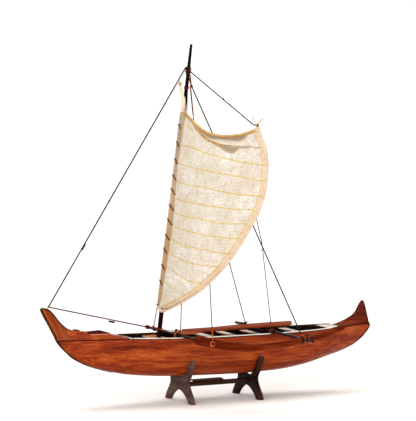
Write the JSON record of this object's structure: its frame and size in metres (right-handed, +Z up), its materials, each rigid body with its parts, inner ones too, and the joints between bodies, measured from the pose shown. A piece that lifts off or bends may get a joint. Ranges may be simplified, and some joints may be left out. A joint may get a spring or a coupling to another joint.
{
  "type": "display model of an outrigger sailing canoe on a cradle stand",
  "caption": "Wooden display model of an outrigger canoe with a crab-claw sail, stays and a curved float, standing on a dark two-frame cradle.",
  "frame": {"origin": "centre of the model's bounding box, at the table under the stand's feet", "axes": "+X from the bow to the stern, +Y away from the float, +Z up"},
  "size_m": [0.6112, 0.3349, 0.5927],
  "materials": {
    "hull_wood": "satin varnish",
    "dark_wood": "satin varnish",
    "board_wood": "satin varnish",
    "stand_wood": "dark stain, satin",
    "mast_wood": "near-black stain, semi-gloss",
    "rail_paint": "cream paint",
    "cane": "natural cane",
    "sail_cloth": "woven cotton",
    "red_cord": "waxed cord",
    "thread": "twisted thread",
    "brass_wire": "dull"
  },
  "bodies": {
    "root": {"hull": "hull_wood", "bow_cover": "hull_wood", "stern_cover": "dark_wood", "rail_near": "rail_paint", "rail_far": "rail_paint", "thwart_1": "rail_paint", "thwart_2": "rail_paint", "thwart_3": "rail_paint", "thwart_4": "rail_paint", "thwart_5": "rail_paint", "mast_thwart": "rail_paint", "stern_deck": "rail_paint", "mast": "mast_wood", "mast_collar": "red_cord", "mast_lashing": "red_cord", "masthead_lashing": "red_cord", "yard": "cane", "boom": "cane", "sail": "sail_cloth", "iako_front": "mast_wood", "iako_rear": "mast_wood", "ama": "dark_wood", "ama_lashing_front": "red_cord", "ama_lashing_rear": "red_cord", "iako_end_lashing": "red_cord", "iako_far_lashing": "red_cord", "gunwale_lashing_front": "red_cord", "gunwale_lashing_rear": "red_cord", "board_lashing_rear": "red_cord", "deck_board": "board_wood", "cleat": "mast_wood", "bow_eye": "brass_wire", "forestay": "thread", "bow_line": "thread", "topping_lift": "thread", "backstay": "thread", "shroud_head": "thread", "shroud_near": "thread", "shroud_gunwale": "thread", "sheet_upper": "thread", "sheet_lower": "thread", "tack_line": "thread", "forestay_toggle": "mast_wood", "bow_line_toggle": "mast_wood", "stand_frame_fore": "stand_wood", "stand_frame_aft": "stand_wood", "stand_stringer": "stand_wood", "stand_plaque": "stand_wood"}
  },
  "joints": []
}
